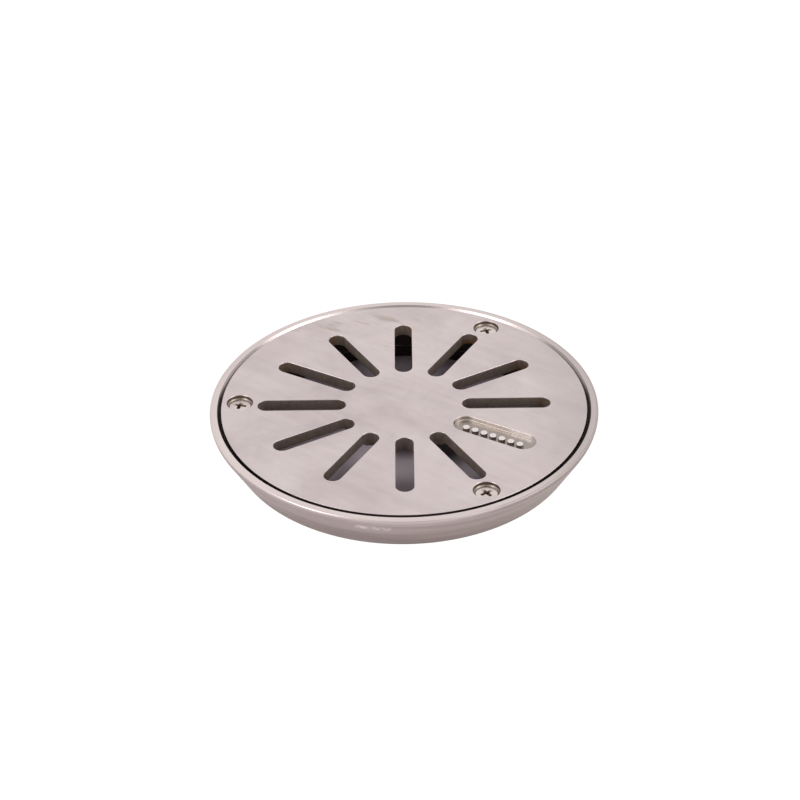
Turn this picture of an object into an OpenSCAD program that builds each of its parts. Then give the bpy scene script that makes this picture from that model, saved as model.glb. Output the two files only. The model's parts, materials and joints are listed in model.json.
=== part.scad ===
// Round floor drain grate: a slotted plate held down in an open-bottomed frame
// ring by three countersunk screws. Millimetres, +Z up, origin at the centre of
// the flat underside of the frame.

/* [Frame ring] */
// Outside diameter of the rim
rim_d = 165; // [163:0.5:170]
// Height from the underside to the top of the rim
frame_h = 20; // [20:0.5:24]
// Diameter of the register bore in the underside
register_d = 135; // [133:0.5:136]
// Depth of the register bore
register_depth = 7.3; // [6:0.1:8]
// Inside diameter of the seat ledge
ledge_d = 130; // [128:0.5:131]

/* [Grate] */
// Diameter of the grate plate
grate_d = 155.5; // [155:0.1:156]
// Thickness of the grate plate
grate_t = 5; // [4:0.5:5]
// Diameter of the thickened middle of the plate
hub_d = 55; // [52:1:60]
// How far the thickened middle stands below the plate
hub_drop = 1.5; // [0.5:0.5:3]

/* [Slots] */
// Number of slot places round the plate, one of which holds the badge
slot_count = 12; // [12:1:14]
// Width of a slot
slot_w = 7.6; // [6:0.1:8.5]
// Radius of the inner end of every slot
slot_in = 24.7; // [23:0.1:28]
// Radius of the outer end of every slot
slot_out = 62.3; // [58:0.1:63]
// Slot place that is a blind recess with a badge, counted from +X
badge_place = 11; // [0:1:11]
// Width of the blind recess
badge_w = 10.8; // [10:0.1:12]
// Depth of the blind recess
badge_depth = 2; // [1:0.1:3]

/* [Fixing screws] */
// Diameter of the circle of screws
screw_pcd = 140; // [139:0.5:140.5]
// Angle of the first screw from +X
screw_angle = 58; // [56:0.1:64]
// Length of a screw, head included
screw_len = 10; // [8:0.5:10]
// Diameter of a screw head
head_d = 9.5; // [9:0.1:9.9]
// How far a screw head lies under the plate's top
head_sink = 1.5; // [1:0.1:1.6]

/* [Hidden] */

$fn = 128;
eps = 0.01;

// frame ring
flank_angle = 30;        // the flank leans in from the vertical by this much
rim_vertex_z = frame_h - 2.2; // where the flank would meet the rim's outside
rim_blend_r = 5;         // blend from the rim's outside to the flank
rim_edge_r = 0.8;        // rounding of the rim's top outer edge
foot_r = 5;              // rounding from the flank to the underside
edge_break = 0.3;        // small chamfer on machined edges
seat_z = frame_h - grate_t;
recess_mouth_d = 158.9;  // mouth of the recess that the grate lies in
recess_foot_d = 156.2;   // the same recess at the seat
mouth_depth = 1.3;       // how far down the mouth's 45 degree flare goes
gasket_in_d = 150;
gasket_t = 1;
gasket_play = 0.05;

// grate
slot_step = 360 / slot_count;
slot_round = 0.25;       // rounding of every slot's top edge
badge_cove = 0.6;        // hollow corner round the blind recess's floor
pip_count = 7;
pip_step = 4.2;
pip_r = 1.5;
pip_h = 1.6;
pip_round = 0.3;
pip_shift = 1.5;         // from the middle of the recess towards its outer side
plate_break = 0.4;       // chamfer under the plate
plate_round = 0.3;       // rounding of the plate's top edge
counterbore_d = 11.2;
counterbore_depth = 1.25;
counterbore_break = 0.15;
countersink_gap = 0.06;  // between a screw's cone and the plate's
screw_hole_d = 5.6;

// screws and the inserts that they turn in
screw_count = 3;
thread_d = 5;
thread_pitch = 0.8;
thread_depth = 0.45;
head_band = 0.2;         // straight edge under the head's top
head_crown = 0.3;
tip_chamfer = 0.6;
cross_r = 2.8;           // reach of the cross recess at the top of the head
cross_foot_r = 1.1;
cross_w = 1.15;
cross_depth = 2.4;
cross_turns = [17, -16, 35];
insert_d = 7;
insert_play = 0.02;
insert_web = 0.7;        // metal left between an insert and the register bore
insert_z = register_depth + insert_web;
thread_play = 0.05;

function arc(c, r, a0, a1, n = 12) =
    [for (i = [0 : n]) c + r * [cos(a0 + (a1 - a0) * i / n), sin(a0 + (a1 - a0) * i / n)]];

// radius of the leaning flank at a height
function flank_r(z) = rim_d / 2 - (rim_vertex_z - z) * tan(flank_angle);

module at_screw(k) {
    rotate(screw_angle + (k - 1) * 360 / screw_count)
        translate([screw_pcd / 2, 0, 0]) children();
}

module frame_section() {
    blend_z = rim_vertex_z + rim_blend_r * tan(flank_angle / 2);
    foot_z = foot_r * (1 - sin(flank_angle));
    foot_c = flank_r(foot_z) - foot_r * cos(flank_angle);
    gasket_z = seat_z - gasket_t;
    polygon(concat(
        arc([foot_c, foot_r], foot_r, -90, -flank_angle),
        arc([rim_d / 2 - rim_blend_r, blend_z], rim_blend_r, -flank_angle, 0),
        arc([rim_d / 2 - rim_edge_r, frame_h - rim_edge_r], rim_edge_r, 0, 90, 6),
        [
            [recess_mouth_d / 2, frame_h],
            [recess_mouth_d / 2 - mouth_depth, frame_h - mouth_depth],
            [recess_foot_d / 2, seat_z],
            [recess_foot_d / 2, gasket_z],
            [gasket_in_d / 2, gasket_z],
            [gasket_in_d / 2, seat_z],
            [ledge_d / 2 + edge_break, seat_z],
            [ledge_d / 2, seat_z - edge_break],
            [ledge_d / 2, register_depth + edge_break],
            [ledge_d / 2 + edge_break, register_depth],
            [register_d / 2, register_depth],
            [register_d / 2, edge_break],
            [register_d / 2 + edge_break, 0]
        ]
    ));
}

module frame_ring() {
    color([0.72, 0.68, 0.67])
    difference() {
        rotate_extrude() frame_section();
        for (k = [1 : screw_count]) at_screw(k)
            translate([0, 0, insert_z])
                cylinder(d = insert_d + 2 * insert_play, h = seat_z - insert_z + eps);
    }
}

module seat_gasket() {
    color([0.06, 0.06, 0.06])
    translate([0, 0, seat_z - gasket_t])
    difference() {
        cylinder(d = recess_foot_d - 4 * gasket_play, h = gasket_t - gasket_play);
        translate([0, 0, -eps])
            cylinder(d = gasket_in_d + 4 * gasket_play, h = gasket_t);
    }
}

// A long hole between two radii along +X, with round ends, cut from z0 up to the
// plate's top, where its edge is rounded. A blind hole has a hollow corner, the
// cove, between its floor and its wall.
module long_hole(w, z0, cove = 0) {
    r = w / 2;
    x0 = slot_in + r;
    x1 = slot_out - r;
    side = concat(
        cove > 0 ? arc([r - cove, z0 + cove], cove, -90, 0, 4) : [[r, z0]],
        arc([r + slot_round, frame_h - slot_round], slot_round, 180, 90, 3),
        [[r + slot_round, frame_h + eps]]
    );
    for (x = [x0, x1]) translate([x, 0, 0]) rotate_extrude()
        polygon(concat([[0, z0]], side, [[0, frame_h + eps]]));
    translate([x0, 0, 0]) rotate([90, 0, 90]) linear_extrude(x1 - x0)
        polygon(concat(
            side, [for (i = [len(side) - 1 : -1 : 0]) [-side[i][0], side[i][1]]]
        ));
}

module pips() {
    mid = (slot_in + slot_out) / 2;
    floor_z = frame_h - badge_depth;
    for (i = [0 : pip_count - 1])
        translate([mid + (i - (pip_count - 1) / 2) * pip_step, -pip_shift, floor_z])
            rotate_extrude() polygon(concat(
                [[0, -0.2], [pip_r, -0.2]],
                arc([pip_r - pip_round, pip_h - pip_round], pip_round, 0, 90, 4),
                [[0, pip_h]]
            ));
}

// A counterbore, the countersink under it and the hole for the shank.
module screw_seat() {
    sink_r = counterbore_d / 2;
    hole_r = screw_hole_d / 2;
    bore_z = frame_h - counterbore_depth;
    cone_r = head_d / 2 + head_sink + head_band + countersink_gap - counterbore_depth;
    translate([0, 0, bore_z]) cylinder(r = sink_r, h = counterbore_depth + eps);
    translate([0, 0, frame_h - counterbore_break]) cylinder(
        r1 = sink_r, r2 = sink_r + counterbore_break + eps, h = counterbore_break + eps);
    translate([0, 0, bore_z - (cone_r - hole_r)])
        cylinder(r1 = hole_r, r2 = cone_r + eps, h = cone_r - hole_r + eps);
    translate([0, 0, seat_z - eps]) cylinder(r = hole_r, h = grate_t / 2);
}

module grate_blank() {
    r = grate_d / 2;
    rotate_extrude() polygon(concat(
        [
            [0, seat_z - hub_drop],
            [hub_d / 2 - 1, seat_z - hub_drop],
            [hub_d / 2, seat_z],
            [r - plate_break, seat_z],
            [r, seat_z + plate_break]
        ],
        arc([r - plate_round, frame_h - plate_round], plate_round, 0, 90, 4),
        [[0, frame_h]]
    ));
}

module grate() {
    color([0.80, 0.76, 0.75]) {
        difference() {
            grate_blank();
            for (i = [0 : slot_count - 1]) rotate(i * slot_step)
                if (i == badge_place) long_hole(badge_w, frame_h - badge_depth, badge_cove);
                else long_hole(slot_w, seat_z - hub_drop - eps);
            for (k = [1 : screw_count]) at_screw(k) screw_seat();
        }
        rotate(badge_place * slot_step) pips();
    }
}

module thread_insert(k) {
    color([0.78, 0.66, 0.40])
    at_screw(k) difference() {
        translate([0, 0, insert_z + insert_play])
            cylinder(d = insert_d, h = seat_z - insert_z - 2 * insert_play);
        translate([0, 0, insert_z])
            cylinder(d = thread_d + 2 * thread_play, h = seat_z);
    }
}

// Half section of a screw, with its head's rim at height 0.
module screw_section() {
    r = thread_d / 2;
    head_r = head_d / 2;
    neck_z = -head_band - (head_r - r);
    crown_r = (head_r * head_r + head_crown * head_crown) / (2 * head_crown);
    turns = floor((screw_len + neck_z - tip_chamfer - thread_pitch) / thread_pitch);
    polygon(concat(
        arc([0, head_crown - crown_r], crown_r, 90, 90 - asin(head_r / crown_r), 6),
        [[head_r, -head_band], [r, neck_z]],
        [for (i = [0 : turns - 1], p = [[0, 0], [thread_depth, 0.4], [0, 0.7]])
            [r - p[0], neck_z - (i + 0.5 + p[1]) * thread_pitch]],
        [[r, tip_chamfer - screw_len], [r - tip_chamfer, -screw_len], [0, -screw_len]]
    ));
}

module cross_recess() {
    top = head_crown + eps;
    for (a = [0, 90]) rotate(a) translate([0, cross_w / 2, 0])
        rotate([90, 0, 0]) linear_extrude(cross_w) polygon([
            [-cross_r, top], [cross_r, top],
            [cross_foot_r, -cross_depth], [-cross_foot_r, -cross_depth]
        ]);
    translate([0, 0, -cross_depth])
        cylinder(r1 = 0.75, r2 = 1.25, h = cross_depth + top);
    translate([0, 0, -cross_depth - 0.4]) cylinder(r1 = 0.05, r2 = 0.75, h = 0.4);
}

module screw(k) {
    color([0.83, 0.81, 0.79])
    at_screw(k) translate([0, 0, frame_h - head_sink])
        rotate(cross_turns[k - 1] - screw_angle - (k - 1) * 360 / screw_count)
            difference() {
                rotate_extrude() screw_section();
                cross_recess();
            }
}

frame_ring();
grate();
seat_gasket();
for (k = [1 : screw_count]) {
    thread_insert(k);
    screw(k);
}
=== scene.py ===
"""Looks of the floor drain grate: brushed and turned stainless steel, threaded screws and inserts,
a rubber gasket, and a white studio with one dark patch high behind the camera."""
import json
import math

import bmesh
import bpy
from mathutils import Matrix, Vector


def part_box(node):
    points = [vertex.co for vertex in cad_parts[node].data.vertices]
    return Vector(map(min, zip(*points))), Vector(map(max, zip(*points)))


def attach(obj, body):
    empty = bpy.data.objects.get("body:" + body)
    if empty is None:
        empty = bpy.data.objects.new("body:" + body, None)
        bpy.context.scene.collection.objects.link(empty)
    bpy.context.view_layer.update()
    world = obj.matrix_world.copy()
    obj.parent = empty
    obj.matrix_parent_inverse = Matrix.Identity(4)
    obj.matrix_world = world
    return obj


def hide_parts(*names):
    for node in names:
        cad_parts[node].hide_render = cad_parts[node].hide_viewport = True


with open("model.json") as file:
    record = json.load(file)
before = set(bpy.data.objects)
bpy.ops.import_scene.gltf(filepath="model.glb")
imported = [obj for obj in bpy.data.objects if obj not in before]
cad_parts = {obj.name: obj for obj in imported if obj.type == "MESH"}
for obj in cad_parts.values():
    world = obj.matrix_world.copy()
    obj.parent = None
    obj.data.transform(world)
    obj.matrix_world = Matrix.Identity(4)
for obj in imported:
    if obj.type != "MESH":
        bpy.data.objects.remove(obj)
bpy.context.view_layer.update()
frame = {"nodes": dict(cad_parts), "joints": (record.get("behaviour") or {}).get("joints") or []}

MM = 0.001
SCREW_NAMES = ["screw_1", "screw_2", "screw_3"]
INSERT_NAMES = ["thread_insert_1", "thread_insert_2", "thread_insert_3"]
SCREW_JOINTS = {joint["child"]: joint for joint in frame["joints"] if joint["type"] == "hinge"}


# ---------------------------------------------------------------- meshes

def shade(mesh, sharp_angle=35):
    mesh.shade_smooth()
    mesh.set_sharp_from_angle(angle=math.radians(sharp_angle))


def mesh_object(name, points, faces, sharp_angle=35):
    mesh = bpy.data.meshes.new(name)
    mesh.from_pydata([tuple(p) for p in points], [], faces)
    mesh.validate()
    work = bmesh.new()
    work.from_mesh(mesh)
    bmesh.ops.recalc_face_normals(work, faces=work.faces)
    work.to_mesh(mesh)
    work.free()
    shade(mesh, sharp_angle)
    piece = bpy.data.objects.new(name, mesh)
    bpy.context.scene.collection.objects.link(piece)
    return piece


def grid_faces(rows, columns, closed_rows=False):
    """Quads between rows of points that each run once round."""
    faces = []
    for row in range(rows if closed_rows else rows - 1):
        low, high = row * columns, (row + 1) % rows * columns
        for column in range(columns):
            after = (column + 1) % columns
            faces.append((low + column, low + after, high + after, high + column))
    return faces


def on_circle(radius, angle, z):
    return Vector((radius * math.cos(angle), radius * math.sin(angle), z))


def ring_of(radius, z, count):
    return [on_circle(radius, math.tau * i / count, z) for i in range(count)]


def arc(centre, radius, start, end, steps):
    """Points (r, z) on an arc, with angles in degrees."""
    angles = [math.radians(start + (end - start) * i / steps) for i in range(steps + 1)]
    return [(centre[0] + radius * math.cos(a), centre[1] + radius * math.sin(a)) for a in angles]


def closed_solid(rows):
    """Points and faces of a solid of revolution whose two ends are closed by a fan."""
    count = len(rows[0])
    points = [p for row in rows for p in row]
    faces = grid_faces(len(rows), count)
    for row in (0, len(rows) - 1):
        centre = len(points)
        points.append(Vector((0, 0, rows[row][0].z)))
        for i in range(count):
            faces.append((centre, row * count + i, row * count + (i + 1) % count))
    return points, faces


def place(piece, x, y, z, turn=0.0):
    """Millimetres to metres, turned, and moved to its place in the frame."""
    for vertex in piece.data.vertices:
        px, py, pz = vertex.co
        vertex.co = (
            x + MM * (px * math.cos(turn) - py * math.sin(turn)),
            y + MM * (px * math.sin(turn) + py * math.cos(turn)),
            z + MM * pz,
        )


def finish_piece(piece, material, body, node):
    """Dresses a detailed piece, lets it ride on its body and puts it in its CAD node's place."""
    piece.data.materials.append(material)
    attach(piece, body)
    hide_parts(node)


# ---------------------------------------------------------------- screws and inserts, in mm

SEGMENTS = 96
PITCH = 0.8
ROWS_PER_PITCH = 10
THREAD_FLANK = 0.36  # share of a pitch that each sloping side of the groove takes
THREAD_ROOT = 0.16  # share that its bottom takes

SHANK_R = 2.5
THREAD_DEPTH = 0.45
THREAD_START = 0.4  # pitches below the neck at which the thread begins to fade in
SCREW_LENGTH = 10.0
TIP_CHAMFER = 0.6
HEAD_R = 4.75
HEAD_BAND = 0.2
HEAD_CROWN = 0.3
HEAD_EDGE = 0.16
CROWN_RINGS = 12
CONE_RINGS = 5
CROSS_TURNS = {"screw_1": 17, "screw_2": -16, "screw_3": 35}  # degrees

INSERT_BORE_R = 2.55
INSERT_THREAD_DEPTH = 0.3
INSERT_CHAMFER = 0.25


def thread_cut(phase):
    """How deep the thread is cut, from 0 at its crest to 1 at its root, over one pitch."""
    phase %= 1.0
    if phase < THREAD_FLANK:
        return phase / THREAD_FLANK
    if phase < THREAD_FLANK + THREAD_ROOT:
        return 1.0
    if phase < 2 * THREAD_FLANK + THREAD_ROOT:
        return 1.0 - (phase - THREAD_FLANK - THREAD_ROOT) / THREAD_FLANK
    return 0.0


def threaded_ring(z, along, radius_at):
    """A ring of points. radius_at gives a radius from how deep the thread is cut at each point."""
    row = []
    for i in range(SEGMENTS):
        share = i / SEGMENTS
        radius = radius_at(thread_cut(along + share))
        row.append(on_circle(radius, math.tau * share, z))
    return row


def screw_rows():
    """Rows of points from the crown's middle down to the tip, with a helical thread."""
    crown_r = (HEAD_R ** 2 + HEAD_CROWN ** 2) / (2 * HEAD_CROWN)
    profile = []
    for step in range(1, CROWN_RINGS + 1):
        r = (HEAD_R - HEAD_EDGE) * step / CROWN_RINGS
        profile.append((r, HEAD_CROWN - crown_r + math.sqrt(crown_r ** 2 - r ** 2)))
    profile += arc((HEAD_R - HEAD_EDGE, -HEAD_EDGE), HEAD_EDGE, 80, 0, 4)
    profile.append((HEAD_R, 0.03 - HEAD_BAND))
    cone_r, cone_z = HEAD_R - 0.06, -HEAD_BAND - 0.06
    neck_z = -HEAD_BAND - (HEAD_R - SHANK_R)
    for step in range(CONE_RINGS + 1):
        t = step / CONE_RINGS
        profile.append((cone_r + (SHANK_R - cone_r) * t, cone_z + (neck_z - cone_z) * t))
    rows = [ring_of(r, z, SEGMENTS) for r, z in profile]

    length = SCREW_LENGTH + neck_z
    steps = int(length / PITCH * ROWS_PER_PITCH)
    for step in range(1, steps + 1):
        z = neck_z - length * step / steps
        along = (neck_z - z) / PITCH
        depth = THREAD_DEPTH * min(1.0, max(0.0, along - THREAD_START))
        tip = max(0.0, -SCREW_LENGTH + TIP_CHAMFER - z)
        rows.append(threaded_ring(z, along, lambda cut: SHANK_R - max(depth * cut, tip)))
    return rows


def cross_outline(z, reach, half_width, fillet):
    """A cross with rounded wing tips and rounded inner corners."""
    tip_length = half_width * 0.7
    inner = half_width + fillet
    wing = [
        (reach - tip_length + tip_length * math.cos(a), half_width * math.sin(a))
        for a in [math.radians(angle) for angle in range(-72, 73, 24)]
    ]
    wing += [
        (inner - fillet * math.sin(a), inner - fillet * math.cos(a))
        for a in [math.radians(90 * i / 4) for i in range(5)]
    ]
    outline = []
    for quarter in range(4):
        turn = math.tau * quarter / 4
        for x, y in wing:
            outline.append(Vector((
                x * math.cos(turn) - y * math.sin(turn),
                x * math.sin(turn) + y * math.cos(turn),
                z,
            )))
    return outline


def cross_cutter():
    """The cross recess as a solid, to be taken out of a screw head. It narrows as it goes down."""
    levels = [  # height, reach and half width of a wing, radius in the inner corners
        (0.60, 3.20, 0.96, 0.40),
        (0.28, 3.00, 0.82, 0.36),
        (0.12, 2.88, 0.72, 0.34),
        (-0.30, 2.68, 0.68, 0.32),
        (-1.20, 2.05, 0.60, 0.28),
        (-2.10, 1.35, 0.48, 0.20),
        (-2.40, 0.95, 0.36, 0.16),
        (-2.65, 0.50, 0.22, 0.10),
    ]
    points, faces = closed_solid([cross_outline(*level) for level in levels])
    return mesh_object("cross_cutter", points, faces)


def cut_away(piece, cutter):
    cut = piece.modifiers.new("cut", "BOOLEAN")
    cut.object = cutter
    cut.operation = "DIFFERENCE"
    cut.solver = "EXACT"
    bpy.context.view_layer.update()
    evaluated = piece.evaluated_get(bpy.context.evaluated_depsgraph_get())
    mesh = bpy.data.meshes.new_from_object(evaluated)
    piece.modifiers.clear()
    piece.data = mesh
    mesh.name = piece.name
    shade(mesh)


def make_screws(material):
    cutter = cross_cutter()
    for name in SCREW_NAMES:
        x, y, _ = SCREW_JOINTS[name]["pos_m"]
        points, faces = closed_solid(screw_rows())
        piece = mesh_object(name + "_threaded", points, faces)
        cut_away(piece, cutter)
        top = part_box(name)[1].z
        place(piece, x, y, top - HEAD_CROWN * MM, math.radians(CROSS_TURNS[name]))
        finish_piece(piece, material, name, name)
    bpy.data.objects.remove(cutter)


def insert_rows(outer_r, height):
    """Rows of points up the outside of a chamfered bush and down its threaded bore."""
    outside = [
        (outer_r - INSERT_CHAMFER, 0),
        (outer_r, INSERT_CHAMFER),
        (outer_r, height - INSERT_CHAMFER),
        (outer_r - INSERT_CHAMFER, height),
    ]
    root_r = INSERT_BORE_R + INSERT_THREAD_DEPTH
    rows = [ring_of(r, z, SEGMENTS) for r, z in outside]
    rows.append(ring_of(root_r, height, SEGMENTS))
    steps = int(height / PITCH * ROWS_PER_PITCH)
    for step in range(1, steps):
        z = height * (1 - step / steps)
        rows.append(threaded_ring(
            z, (height - z) / PITCH, lambda cut: INSERT_BORE_R + INSERT_THREAD_DEPTH * (1 - cut)))
    rows.append(ring_of(root_r, 0, SEGMENTS))
    return rows


def make_inserts(material):
    """Brass bushes: chamfered at both ends, with a helical thread cut into the bore."""
    for name, screw in zip(INSERT_NAMES, SCREW_NAMES):
        low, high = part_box(name)
        x, y, _ = SCREW_JOINTS[screw]["pos_m"]
        rows = insert_rows((high.x - low.x) / 2 / MM, (high.z - low.z) / MM)
        points = [p for row in rows for p in row]
        faces = grid_faces(len(rows), SEGMENTS, closed_rows=True)
        piece = mesh_object(name + "_threaded", points, faces)
        place(piece, x, y, low.z)
        finish_piece(piece, material, "frame", name)


# ---------------------------------------------------------------- gasket, in mm

GASKET_SEGMENTS = 360
GASKET_CORNER_R = 0.2
BEAD_R = 0.35
BEAD_HEIGHT = 0.22
BEAD_SINK = 0.13  # how far a bead's centre lies below the flat between the beads
BEAD_PLACES = (0.72, 0.28)  # shares of the gasket's width


def gasket_radii():
    """Inner and outer radius of the CAD gasket."""
    radii = [v.co.xy.length / MM for v in frame["nodes"]["seat_gasket"].data.vertices]
    return min(radii), max(radii)


def make_gasket(material):
    """A flat rubber ring with two low sealing beads, in the ledge's groove."""
    low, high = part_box("seat_gasket")
    inner, outer = gasket_radii()
    bottom = low.z / MM
    flat = high.z / MM - BEAD_HEIGHT
    corner = GASKET_CORNER_R
    profile = arc((inner + corner, bottom + corner), corner, 180, 270, 4)
    profile += arc((outer - corner, bottom + corner), corner, 270, 360, 4)
    profile += arc((outer - corner, flat - corner), corner, 0, 90, 4)
    for share in BEAD_PLACES:
        middle = inner + (outer - inner) * share
        profile += arc((middle, flat - BEAD_SINK), BEAD_R, 22, 158, 8)
    profile += arc((inner + corner, flat - corner), corner, 90, 180, 4)
    rows = [ring_of(r, z, GASKET_SEGMENTS) for r, z in profile]
    points = [p * MM for row in rows for p in row]
    faces = grid_faces(len(rows), GASKET_SEGMENTS, closed_rows=True)
    piece = mesh_object("seat_gasket_beaded", points, faces, 50)
    finish_piece(piece, material, "frame", "seat_gasket")


# ---------------------------------------------------------------- materials

class Nodes:
    """A material's node tree, with a short call for each node that is used here."""

    def __init__(self, name):
        self.material = bpy.data.materials.new(name)
        self.material.use_nodes = True
        self.tree = self.material.node_tree
        self.shader = self.tree.nodes["Principled BSDF"]
        self.place = self.node("ShaderNodeTexCoord").outputs["Object"]
        self.x, self.y, self.z = self.node("ShaderNodeSeparateXYZ", {0: self.place}).outputs

    def node(self, kind, inputs=(), **settings):
        made = self.tree.nodes.new(kind)
        for key, value in settings.items():
            setattr(made, key, value)
        for socket, value in dict(inputs).items():
            self.put(made.inputs[socket], value)
        return made

    def put(self, socket, value):
        if isinstance(value, bpy.types.NodeSocket):
            self.tree.links.new(value, socket)
        else:
            socket.default_value = value

    def math(self, operation, a, b=0.0):
        return self.node("ShaderNodeMath", {0: a, 1: b}, operation=operation).outputs[0]

    def add(self, a, b):
        return self.math("ADD", a, b)

    def minus(self, a, b):
        return self.math("SUBTRACT", a, b)

    def greater(self, a, b):
        return self.math("MAXIMUM", a, b)

    def product(self, *values):
        result = values[0]
        for value in values[1:]:
            result = self.math("MULTIPLY", result, value)
        return result

    def radius(self, x, y):
        return self.math("SQRT", self.add(self.product(x, x), self.product(y, y)))

    def join(self, x, y, z):
        return self.node("ShaderNodeCombineXYZ", {0: x, 1: y, 2: z}).outputs[0]

    def facing_up(self):
        """The face's own normal's height, from -1 to 1."""
        normal = self.node("ShaderNodeNewGeometry").outputs["Normal"]
        return self.node("ShaderNodeSeparateXYZ", {0: normal}).outputs[2]

    def along(self, angle, scale):
        """Coordinates whose first axis lies at an angle from +X, stretched per axis."""
        rotation = (0, 0, math.radians(-angle))
        turned = self.node("ShaderNodeMapping", {"Vector": self.place, "Rotation": rotation})
        stretched = self.node("ShaderNodeMapping", {"Vector": turned.outputs[0], "Scale": scale})
        return stretched.outputs[0]

    def spread(self, value, low, high, to_low=0.0, to_high=1.0, smooth=False):
        """Maps low..high to to_low..to_high, and holds the ends."""
        made = self.node("ShaderNodeMapRange", {0: value, 1: low, 2: high, 3: to_low, 4: to_high})
        made.clamp = True
        if smooth:
            made.interpolation_type = "SMOOTHSTEP"
        return made.outputs[0]

    def near(self, value, middle, half_width, soft):
        """1 within half_width of middle, fading to 0 over soft."""
        off = self.math("ABSOLUTE", self.minus(value, middle))
        return self.spread(off, half_width, half_width + soft, 1, 0, smooth=True)

    def noise(self, vector, scale, detail=4.0, rough=0.55, distortion=0.0):
        return self.node("ShaderNodeTexNoise", {
            "Vector": vector,
            "Scale": scale,
            "Detail": detail,
            "Roughness": rough,
            "Distortion": distortion,
        }).outputs[0]

    def mix(self, factor, a, b):
        made = self.node("ShaderNodeMix", data_type="RGBA")
        self.put(made.inputs[0], factor)
        self.put(made.inputs[6], a)
        self.put(made.inputs[7], b)
        return made.outputs[2]

    def bump(self, height, strength, distance):
        inputs = {"Height": height, "Strength": strength, "Distance": distance}
        return self.node("ShaderNodeBump", inputs).outputs[0]

    def finish(self, color, roughness, normal=None, metallic=1.0):
        self.put(self.shader.inputs["Base Color"], color)
        self.put(self.shader.inputs["Roughness"], roughness)
        self.shader.inputs["Metallic"].default_value = metallic
        if normal is not None:
            self.put(self.shader.inputs["Normal"], normal)
        return self.material


def rgb(r, g, b):
    """An sRGB colour, 0 to 255, as linear RGBA."""
    def linear(value):
        value /= 255
        return value / 12.92 if value <= 0.04045 else ((value + 0.055) / 1.055) ** 2.4
    return (linear(r), linear(g), linear(b), 1.0)


# heights and radii on the CAD pieces at which a finish begins or ends, in metres
PLATE_R, _, PLATE_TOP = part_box("grate")[1]
RIM_R, _, RIM_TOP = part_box("frame_ring")[1]
SCREW_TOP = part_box("screw_1")[1].z
COUNTERBORE_R = 5.6 * MM
RECESS_R = 78.1 * MM
SEAT_Z = 15.0 * MM
REGISTER_R = 67.5 * MM
REGISTER_TOP = 7.3 * MM

# the badge's recess lies 30 degrees clockwise of +X; all its measures are in metres
BADGE_COS, BADGE_SIN = 0.866, 0.5
BADGE_START, BADGE_END = 20 * MM, 68 * MM
BADGE_HALF_WIDTH = 6.2 * MM
BADGE_DEPTH = 2.0 * MM
PIP_ROW = -1.5 * MM
PIP_ROW_HALF_WIDTH = 1.6 * MM
PIP_TOP_DEPTH = 0.4 * MM


def to_screw_axis(n):
    """Distance to the nearest screw's axis, in metres."""
    nearest = None
    for name in SCREW_NAMES:
        axis_x, axis_y, _ = SCREW_JOINTS[name]["pos_m"]
        distance = n.radius(n.minus(n.x, axis_x), n.minus(n.y, axis_y))
        nearest = distance if nearest is None else n.math("MINIMUM", nearest, distance)
    return nearest


class PlateNodes(Nodes):
    """Nodes for the plate, with masks for the places that have a finish of their own."""

    def __init__(self, name):
        super().__init__(name)
        self.from_middle = self.radius(self.x, self.y)
        self.up = self.facing_up()
        self.wall = self.spread(self.math("ABSOLUTE", self.up), 0.15, 0.5, 1, 0)
        self.clouds = self.noise(self.place, 32.0, 6.0, 0.62, 0.5)

        # the badge's recess, which must not show on the plate's underside
        self.across = self.add(self.product(self.x, BADGE_SIN), self.product(self.y, BADGE_COS))
        self.outward = self.minus(self.product(self.x, BADGE_COS), self.product(self.y, BADGE_SIN))
        middle, half_length = (BADGE_START + BADGE_END) / 2, (BADGE_END - BADGE_START) / 2
        badge_floor = PLATE_TOP - BADGE_DEPTH
        self.in_badge = self.product(
            self.near(self.across, 0.0, BADGE_HALF_WIDTH, 0.4 * MM),
            self.near(self.outward, middle, half_length, 0.4 * MM),
            self.spread(self.z, badge_floor - 0.6 * MM, badge_floor - 0.4 * MM))
        low_down = self.spread(self.z, badge_floor + 0.15 * MM, badge_floor + 0.3 * MM, 1, 0)
        self.sunk = self.product(self.in_badge, low_down)
        self.slot_wall = self.product(self.wall, self.minus(1.0, self.in_badge))


BRUSH_ANGLE = -39


def plate_top(n, lines):
    """Soft clouds and slanting streaks, with faint brown water marks near the plate's far edge."""
    streaks = n.noise(n.along(BRUSH_ANGLE + 6, (22, 70, 22)), 1.0, 4.0, 0.55, 1.2)
    tone = n.mix(n.spread(n.clouds, 0.32, 0.68), rgb(191, 177, 177), rgb(216, 204, 203))
    tone = n.mix(n.spread(streaks, 0.4, 0.62, 0, 0.5), tone, rgb(214, 201, 200))
    tone = n.mix(n.spread(lines, 0.4, 0.65, 0, 0.16), tone, rgb(180, 165, 164))
    marks = n.product(
        n.spread(n.noise(n.along(BRUSH_ANGLE + 10, (60, 260, 60)), 1.0, 2.0), 0.56, 0.68),
        n.near(n.x, -22 * MM, 22 * MM, 12 * MM),
        n.near(n.y, 58 * MM, 10 * MM, 8 * MM))
    return n.mix(n.product(marks, 0.55), tone, rgb(166, 152, 138))


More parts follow.
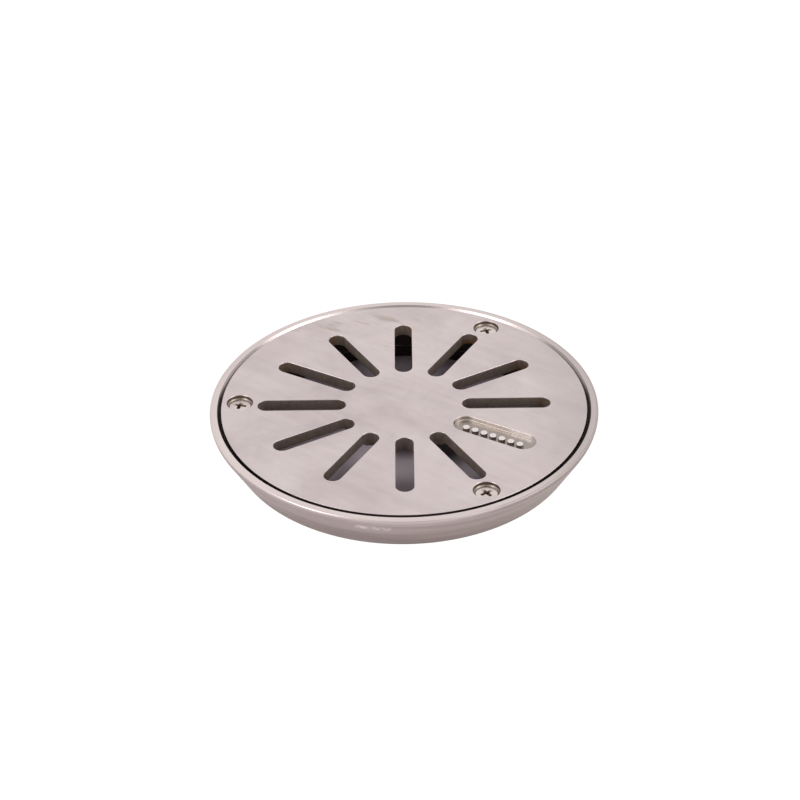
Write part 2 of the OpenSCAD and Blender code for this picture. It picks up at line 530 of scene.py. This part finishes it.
def slot_walls(n, tone):
    """Rougher cut walls, with brown film at the far slots' outer ends and at one inner end."""
    grit_place = n.join(n.product(n.x, 520), n.product(n.y, 520), n.product(n.z, 330))
    grit = n.noise(grit_place, 1.0, 6.0, 0.7)
    cut_tone = n.mix(n.spread(grit, 0.25, 0.75), rgb(134, 120, 107), rgb(182, 166, 153))
    tone = n.mix(n.product(n.slot_wall, 0.8), tone, cut_tone)
    blotches = n.spread(n.noise(n.place, 90.0, 3.0), 0.40, 0.60)
    outer_ends = n.product(
        n.spread(n.from_middle, 55 * MM, 61 * MM),
        n.spread(n.from_middle, 70 * MM, 68 * MM),
        n.spread(n.add(n.y, n.greater(n.x, 0.0)), 10 * MM, 16 * MM),
        blotches)
    one_inner_end = n.product(
        n.near(n.x, 22.5 * MM, 2.5 * MM, 2 * MM), n.near(n.y, 12.5 * MM, 2.5 * MM, 2 * MM))
    stain = n.product(n.slot_wall, n.greater(outer_ends, one_inner_end))
    return n.mix(n.product(stain, 0.8), tone, rgb(162, 118, 56))


def plate_edge(n, tone):
    """Painted shade on the plate's edge in the gap to the ring, and painted shade on the plate's
    right side.
    """
    # painted shade on the plate's edge, where it lies in the gap to the ring
    edge = n.product(n.wall, n.spread(n.from_middle, PLATE_R - 0.55 * MM, PLATE_R - 0.35 * MM))
    tone = n.mix(n.product(edge, 0.9), tone, rgb(104, 95, 91))
    # painted shade, darker on the plate's right side
    return n.mix(n.product(n.spread(n.x, 52 * MM, 74 * MM), 0.5), tone, rgb(183, 174, 172))


def badge_recess(n, tone):
    """Pale walls, a painted highlight on the far one, painted shade on the floor, and pips with
    painted shade on their sides and painted highlights on their tops.
    """
    tone = n.mix(n.product(n.in_badge, n.wall, 0.9), tone, rgb(214, 208, 196))
    # painted highlight on the recess's far wall
    far_wall_highlight = n.product(
        n.in_badge,
        n.wall,
        n.spread(n.across, 2 * MM, 3 * MM),
        n.near(n.outward, 56.5 * MM, 6 * MM, 5 * MM))
    tone = n.mix(far_wall_highlight, tone, rgb(255, 252, 248))
    # painted shade darkens the recess floor
    floor = n.product(n.sunk, n.spread(n.clouds, 0.3, 0.7, 0.75, 1.0))
    tone = n.mix(floor, tone, rgb(156, 145, 140))
    # painted shade on the pips' sides
    pips = n.product(n.in_badge, n.near(n.across, PIP_ROW, PIP_ROW_HALF_WIDTH, 0.1 * MM))
    tone = n.mix(n.product(pips, n.wall, 0.85), tone, rgb(116, 106, 100))
    # painted highlight on the pips' tops
    pip_top_highlights = n.product(pips, n.near(n.z, PLATE_TOP - PIP_TOP_DEPTH, 0.1 * MM, 0.05 * MM))
    return n.mix(n.product(pip_top_highlights, 0.6), tone, rgb(238, 229, 224))


def screw_holes(n, tone):
    """Painted shade on the counterbores' walls and on the shoulders round the screw heads."""
    to_axis = to_screw_axis(n)
    # painted shade on the counterbores' walls
    bore_shade = n.product(n.near(to_axis, COUNTERBORE_R, 0.1 * MM, 0.03 * MM), n.wall)
    tone = n.mix(n.product(bore_shade, 0.85), tone, rgb(112, 98, 84))
    # painted shade on the shoulders round the screw heads
    shoulder_shade = n.product(
        n.near(to_axis, 5.0 * MM, 0.52 * MM, 0.05 * MM),
        n.spread(n.z, PLATE_TOP - 1.1 * MM, PLATE_TOP - 1.2 * MM))
    return n.mix(n.product(shoulder_shade, 0.8), tone, rgb(142, 128, 115))


def grate_steel():
    """Ground plate: fine straight lines across the top, and a finish of its own in every cut, with
    painted shade and highlights in the badge's recess and the screw holes.
    """
    n = PlateNodes("grate_steel")
    fine = n.noise(n.along(BRUSH_ANGLE, (45, 1500, 45)), 1.0, 3.0, 0.6)
    lines = n.noise(n.along(BRUSH_ANGLE, (14, 320, 14)), 1.0, 4.0, 0.65)
    tone = plate_top(n, lines)
    tone = slot_walls(n, tone)
    tone = plate_edge(n, tone)
    tone = badge_recess(n, tone)
    tone = screw_holes(n, tone)

    # the underside is plain rolled plate, duller than the top
    below = n.spread(n.up, -0.6, -0.3, 1, 0)
    tone = n.mix(n.product(below, 0.6), tone, rgb(150, 140, 136))
    inner_walls = n.product(n.slot_wall, n.spread(n.from_middle, 68 * MM, 67 * MM))
    roughness = n.add(n.spread(fine, 0.3, 0.7, 0.27, 0.37), n.spread(n.clouds, 0.3, 0.7, 0, 0.05))
    roughness = n.add(roughness, n.product(n.minus(below, n.product(n.sunk, 0.6)), 0.15))
    roughness = n.add(roughness, n.product(inner_walls, 0.32))
    height = n.add(n.product(fine, 0.7), n.product(lines, 0.3))
    n.shader.inputs["Anisotropic"].default_value = 0.35
    return n.finish(tone, roughness, n.bump(height, 0.12, 0.03 * MM))


def ring_flank(n, tone, bands, outside, flank, from_middle):
    """Bands round the flank, painted shade darker towards the foot, a painted contact shadow along
    the foot, and one rub mark near the front painted as a pale highlight.
    """
    rings = n.spread(bands, 0.42, 0.58, 0.25, 0.85)
    tone = n.mix(n.product(flank, rings), tone, rgb(176, 161, 157))
    right_side = n.spread(n.x, 10 * MM, 50 * MM, 0, 0.4)
    tone = n.mix(n.product(flank, right_side), tone, rgb(196, 187, 176))
    # painted shade, darker towards the foot and less so on the right
    low_flank_shade = n.product(n.spread(n.z, 12.5 * MM, 1 * MM), n.spread(n.x, 0.0, 45 * MM, 0.6, 0.35))
    tone = n.mix(n.product(outside, low_flank_shade), tone, rgb(150, 136, 131))
    # painted contact shadow along the foot
    foot_shadow = n.product(
        outside, n.spread(n.z, 2 * MM, 0.6 * MM), n.spread(from_middle, 69 * MM, 69.5 * MM))
    tone = n.mix(n.product(foot_shadow, 0.6), tone, rgb(104, 95, 91))
    # a rub mark painted as a pale highlight
    rub_mark_highlight = n.product(
        flank,
        n.near(n.x, -13 * MM, 5.5 * MM, 2.5 * MM),
        n.near(n.z, 15.2 * MM, 1 * MM, 0.8 * MM),
        n.spread(n.y, -20 * MM, 0.0, 1, 0),
        n.spread(n.noise(n.place, 330.0, 6.0, 0.7), 0.36, 0.58))
    return n.mix(n.product(rub_mark_highlight, 0.7), tone, rgb(252, 245, 236))


def frame_steel():
    """Turned ring: fine lines round it on every face, darker bands on the flank, painted shade
    inside.
    """
    n = Nodes("frame_steel")
    from_middle = n.radius(n.x, n.y)
    angle = n.math("ARCTAN2", n.y, n.x)
    fine_place = n.join(n.product(from_middle, 2600), n.product(n.z, 2600), n.product(angle, 3))
    fine = n.noise(fine_place, 1.0, 3.0, 0.6)
    round_x = n.product(n.math("DIVIDE", n.x, from_middle), 0.8)
    round_y = n.product(n.math("DIVIDE", n.y, from_middle), 0.8)
    down_flank = n.product(n.minus(n.product(n.z, 2.2), from_middle), 230)
    bands = n.noise(n.join(round_x, round_y, down_flank), 1.0, 3.0, 0.6)
    clouds = n.noise(n.place, 30.0, 3.0, 0.5)
    tone = n.mix(n.spread(bands, 0.3, 0.7), rgb(202, 188, 186), rgb(224, 211, 208))
    tone = n.mix(n.spread(clouds, 0.35, 0.7, 0, 0.5), tone, rgb(214, 201, 198))
    outside = n.spread(n.facing_up(), -0.15, -0.05, 1, 0)
    flank = n.product(outside, n.spread(from_middle, 72.2 * MM, 72.8 * MM))
    tone = ring_flank(n, tone, bands, outside, flank, from_middle)

    # painted shade darkens the rim on its right, along its outer edge most of all, where that edge
    # is also rougher
    near_top = n.spread(n.z, RIM_TOP - 2 * MM, RIM_TOP - 1.6 * MM)
    outer_edge = n.spread(from_middle, RIM_R - 1.3 * MM, RIM_R - 0.7 * MM)
    rim_edge_shade = n.product(n.spread(n.x, 20 * MM, 40 * MM), outer_edge, near_top)
    rim_right_shade = n.product(n.spread(n.x, 45 * MM, 70 * MM), near_top)
    tone = n.mix(n.product(rim_edge_shade, 0.75), tone, rgb(178, 166, 163))
    tone = n.mix(n.product(rim_right_shade, 0.6), tone, rgb(180, 170, 167))

    # inside the throat, which is also rougher: painted shade darkens it, and a painted highlight
    # lies along its one inner edge
    throat_shade = n.product(
        n.spread(from_middle, REGISTER_R + 0.4 * MM, REGISTER_R + 0.2 * MM),
        n.spread(n.z, SEAT_Z - 0.1 * MM, SEAT_Z - 0.4 * MM))
    # painted highlight on the ledge's inner edge
    edge = n.product(
        n.near(n.z, REGISTER_TOP + 0.15 * MM, 0.16 * MM, 0.1 * MM),
        n.spread(from_middle, 65.5 * MM, 65.4 * MM))
    tone = n.mix(throat_shade, tone, n.mix(edge, rgb(74, 67, 64), rgb(206, 196, 190)))

    # the recess round the plate: matt wall, and painted shade in its flared mouth except at the
    # back
    above_seat = n.spread(n.z, SEAT_Z - 0.2 * MM, SEAT_Z + 0.2 * MM)
    recess_wall = n.product(n.near(from_middle, RECESS_R, 0.3 * MM, 0.1 * MM), above_seat)
    gap_shade = n.greater(
        n.spread(n.y, 28 * MM, 6 * MM, 0, 0.9), n.spread(n.y, 52 * MM, 44 * MM, 0, 0.45))
    in_flare = n.near(from_middle, RECESS_R + 0.7 * MM, 0.6 * MM, 0.05 * MM)
    flare_shade = n.product(in_flare, above_seat, gap_shade)
    tone = n.mix(flare_shade, tone, rgb(58, 50, 47))
    matt = n.greater(throat_shade, n.greater(recess_wall, rim_edge_shade))
    roughness = n.add(n.spread(fine, 0.3, 0.7, 0.22, 0.32), n.spread(clouds, 0.3, 0.7, 0.0, 0.06))
    roughness = n.add(roughness, n.product(matt, 0.25))
    roughness = n.add(roughness, n.product(flank, 0.12))
    return n.finish(tone, roughness, n.bump(fine, 0.15, 0.03 * MM))


def screw_steel():
    """Turned screws: rings on the head, and a brown film where dirt stays in the cross recess."""
    n = Nodes("screw_steel")
    grain = n.noise(n.place, 900.0, 4.0, 0.6)
    clouds = n.noise(n.place, 160.0, 3.0, 0.5)
    tone = n.mix(n.spread(clouds, 0.3, 0.7), rgb(200, 188, 184), rgb(222, 211, 207))
    to_axis = to_screw_axis(n)
    film = n.product(
        n.spread(n.z, SCREW_TOP - 1.3 * MM, SCREW_TOP - 0.4 * MM, 1, 0),
        n.spread(to_axis, 2.9 * MM, 3.1 * MM, 1, 0),
        n.spread(n.z, SCREW_TOP - 2.9 * MM, SCREW_TOP - 2.8 * MM),
        n.spread(grain, 0.25, 0.6, 0.75, 1.0))
    tone = n.mix(film, tone, rgb(116, 90, 66))
    rings = n.math("SINE", n.product(to_axis, math.tau / (0.32 * MM)))
    height = n.add(n.product(rings, 0.35), grain)
    roughness = n.add(n.spread(grain, 0.3, 0.7, 0.2, 0.34), n.product(film, 0.15))
    return n.finish(tone, roughness, n.bump(height, 0.12, 0.02 * MM))


def insert_brass():
    """Turned brass with soft clouds."""
    n = Nodes("insert_brass")
    grain = n.noise(n.place, 700.0, 4.0, 0.6)
    clouds = n.noise(n.place, 120.0, 3.0)
    tone = n.mix(n.spread(clouds, 0.3, 0.7), rgb(186, 152, 92), rgb(214, 182, 118))
    return n.finish(tone, n.spread(grain, 0.3, 0.7, 0.24, 0.4), n.bump(grain, 0.1, 0.02 * MM))


def gasket_rubber():
    """Black rubber with a fine grain."""
    n = Nodes("gasket_rubber")
    grain = n.noise(n.place, 1500.0, 3.0)
    tone = n.mix(n.spread(grain, 0.3, 0.7), rgb(24, 23, 23), rgb(38, 36, 36))
    roughness = n.spread(grain, 0.3, 0.7, 0.55, 0.72)
    return n.finish(tone, roughness, n.bump(grain, 0.2, 0.04 * MM), metallic=0.0)


# ---------------------------------------------------------------- studio

FLOOR_Z = -0.1 * MM
FLOOR_R = 12.0
PAPER_SEAM_R = 68.5 * MM
FLOOR_GLOW = 0.22
TABLE_GLOW = 0.13
SEEN_WHITE = 1.05  # what the camera sees of the floor and the world, so that both are pure white


def white_floor():
    """Paper that the camera sees as pure white, and that still shades what it reflects into."""
    n = Nodes("white_floor")
    grain = n.noise(n.place, 300.0, 3.0)
    close = n.spread(n.radius(n.x, n.y), 92 * MM, 72 * MM)
    tone = n.mix(grain, (0.68, 0.66, 0.67, 1), (0.72, 0.70, 0.71, 1))
    strength = n.product(close, FLOOR_GLOW)
    glow = n.node("ShaderNodeEmission", {"Color": (1, 0.97, 0.98, 1), "Strength": strength})
    diffuse = n.node("ShaderNodeBsdfDiffuse", {"Color": tone})
    paper = n.node("ShaderNodeAddShader", {0: diffuse.outputs[0], 1: glow.outputs[0]})
    plain = n.node("ShaderNodeEmission", {"Color": (1, 1, 1, 1), "Strength": SEEN_WHITE})
    seen = n.node("ShaderNodeLightPath").outputs["Is Camera Ray"]
    both = n.node("ShaderNodeMixShader", {0: seen, 1: paper.outputs[0], 2: plain.outputs[0]})
    n.put(n.tree.nodes["Material Output"].inputs["Surface"], both.outputs[0])
    return n.material


def table_paper():
    """What shows through the slots: paper painted purple-grey as shade under the ring, with a soft
    glow and one soft painted shadow.
    """
    n = Nodes("table_paper")
    grain = n.noise(n.place, 300.0, 3.0)
    from_middle = n.radius(n.x, n.y)
    # paper painted purple-grey as shade under the ring, lighter towards the ring's wall
    tone = n.mix(grain, (0.38, 0.32, 0.36, 1), (0.43, 0.36, 0.41, 1))
    tone = n.mix(n.spread(from_middle, 48 * MM, 62 * MM), tone, (0.62, 0.54, 0.62, 1))
    # a soft painted shadow on the paper
    to_spot = n.radius(n.minus(n.x, 18 * MM), n.product(n.minus(n.y, -4.5 * MM), 0.75))
    shadow_spot = n.spread(to_spot, 3.5 * MM, 12.5 * MM, 1, 0, smooth=True)
    tone = n.mix(n.product(shadow_spot, 0.85), tone, (0.05, 0.04, 0.045, 1))
    ring = n.product(
        n.near(from_middle, 16 * MM, 2 * MM, 15 * MM), n.spread(from_middle, 6 * MM, 14 * MM))
    to_patch = n.radius(n.minus(n.x, 27 * MM), n.minus(n.y, -21 * MM))
    patch = n.product(n.spread(to_patch, 2 * MM, 12 * MM, 1, 0, smooth=True), 0.6)
    lit = n.product(n.greater(ring, patch), n.minus(1.0, shadow_spot))
    n.shader.inputs["Emission Color"].default_value = (1.0, 0.87, 0.93, 1)
    n.put(n.shader.inputs["Emission Strength"], n.product(lit, TABLE_GLOW))
    return n.finish(tone, 0.8, metallic=0.0)


def make_floor():
    """White paper outside the ring, and a disc of paper painted darker, as shade, that shows
    inside it.
    """
    rim, seam = [ring_of(r, FLOOR_Z, 256) for r in (FLOOR_R, PAPER_SEAM_R)]
    outside = mesh_object("floor", seam + rim, grid_faces(2, len(rim)))
    inside = mesh_object("floor_inside", seam, [tuple(range(len(seam)))])
    outside.data.materials.append(white_floor())
    inside.data.materials.append(table_paper())


def make_world():
    """White all round and above, with a dark patch high behind the camera, on the -Y side."""
    world = bpy.data.worlds.new("studio")
    bpy.context.scene.world = world
    world.use_nodes = True
    tree = world.node_tree
    background = tree.nodes["Background"]
    wire = tree.links.new

    def add(kind, **settings):
        made = tree.nodes.new(kind)
        for key, value in settings.items():
            setattr(made, key, value)
        return made

    def calculate(operation, *values):
        made = add("ShaderNodeMath", operation=operation)
        for index, value in enumerate(values):
            if isinstance(value, bpy.types.NodeSocket):
                wire(value, made.inputs[index])
            else:
                made.inputs[index].default_value = value
        return made.outputs[0]

    def fade(value, start, end):
        """0 at start and before it, 1 at end and beyond it."""
        made = add("ShaderNodeMapRange", interpolation_type="SMOOTHSTEP")
        wire(value, made.inputs[0])
        made.inputs[1].default_value = start
        made.inputs[2].default_value = end
        return made.outputs[0]

    parts = add("ShaderNodeSeparateXYZ")
    wire(add("ShaderNodeTexCoord").outputs["Generated"], parts.inputs[0])
    x, y, z = parts.outputs
    squares = calculate("ADD", calculate("MULTIPLY", x, x), calculate("MULTIPLY", y, y))
    level = calculate("MAXIMUM", calculate("SQRT", squares), 0.001)
    front = fade(calculate("DIVIDE", calculate("MULTIPLY", y, -1.0), level), 0.72, 0.90)
    not_overhead = fade(calculate("MULTIPLY", z, -1.0), -0.97, -0.90)
    not_low = fade(z, 0.55, 0.72)
    dark = calculate("MULTIPLY", calculate("MULTIPLY", front, not_overhead), not_low)
    mix = add("ShaderNodeMix", data_type="RGBA")
    wire(dark, mix.inputs[0])
    mix.inputs[6].default_value = (1.0, 1.0, 1.0, 1)
    mix.inputs[7].default_value = (0.24, 0.23, 0.22, 1)
    wire(mix.outputs[2], background.inputs["Color"])
    background.inputs["Strength"].default_value = 1.0
    plain = add("ShaderNodeBackground")
    plain.inputs["Strength"].default_value = SEEN_WHITE
    both = add("ShaderNodeMixShader")
    wire(add("ShaderNodeLightPath").outputs["Is Camera Ray"], both.inputs[0])
    wire(background.outputs[0], both.inputs[1])
    wire(plain.outputs[0], both.inputs[2])
    wire(both.outputs[0], tree.nodes["World Output"].inputs["Surface"])


def soft_light(name, place_at, width, height, power):
    """An area light aimed at the frame's origin."""
    light = bpy.data.lights.new(name, "AREA")
    light.shape = "RECTANGLE"
    light.size = width
    light.size_y = height
    light.energy = power
    lamp = bpy.data.objects.new(name, light)
    lamp.location = place_at
    lamp.rotation_euler = (-Vector(place_at)).to_track_quat("-Z", "Y").to_euler()
    bpy.context.scene.collection.objects.link(lamp)


def make_lights():
    soft_light("box_left", (-0.90, -0.47, 0.98), 0.55, 0.75, 3.6)
    soft_light("box_right", (1.02, -0.24, 0.92), 0.50, 0.75, 3.4)


CAMERA_DISTANCE = 0.9508
CAMERA_ELEVATION = math.radians(34.48)
CAMERA_ROLL = math.radians(0.67)


def make_camera():
    """A camera on the -Y side that looks at the middle of the plate's top."""
    back = Vector((0, -math.cos(CAMERA_ELEVATION), math.sin(CAMERA_ELEVATION)))
    right = Vector((1, 0, 0))
    up = back.cross(right)
    data = bpy.data.cameras.new("camera")
    data.lens = 100.6
    data.sensor_width = 36.0
    data.shift_x = -0.005
    data.shift_y = 0.0049
    camera = bpy.data.objects.new("camera", data)
    turn = camera.matrix_world.to_3x3()
    turn.col[0] = right * math.cos(CAMERA_ROLL) - up * math.sin(CAMERA_ROLL)
    turn.col[1] = right * math.sin(CAMERA_ROLL) + up * math.cos(CAMERA_ROLL)
    turn.col[2] = back
    camera.matrix_world = turn.to_4x4()
    camera.location = Vector((0, 0, PLATE_TOP)) + back * CAMERA_DISTANCE
    bpy.context.scene.collection.objects.link(camera)
    bpy.context.scene.camera = camera


def dress(node, material):
    mesh = frame["nodes"][node].data
    mesh.materials.clear()
    mesh.materials.append(material)


make_camera()
make_world()
make_floor()
make_lights()
dress("frame_ring", frame_steel())
dress("grate", grate_steel())
make_screws(screw_steel())
make_inserts(insert_brass())
make_gasket(gasket_rubber())
bpy.context.scene.view_settings.view_transform = "Standard"
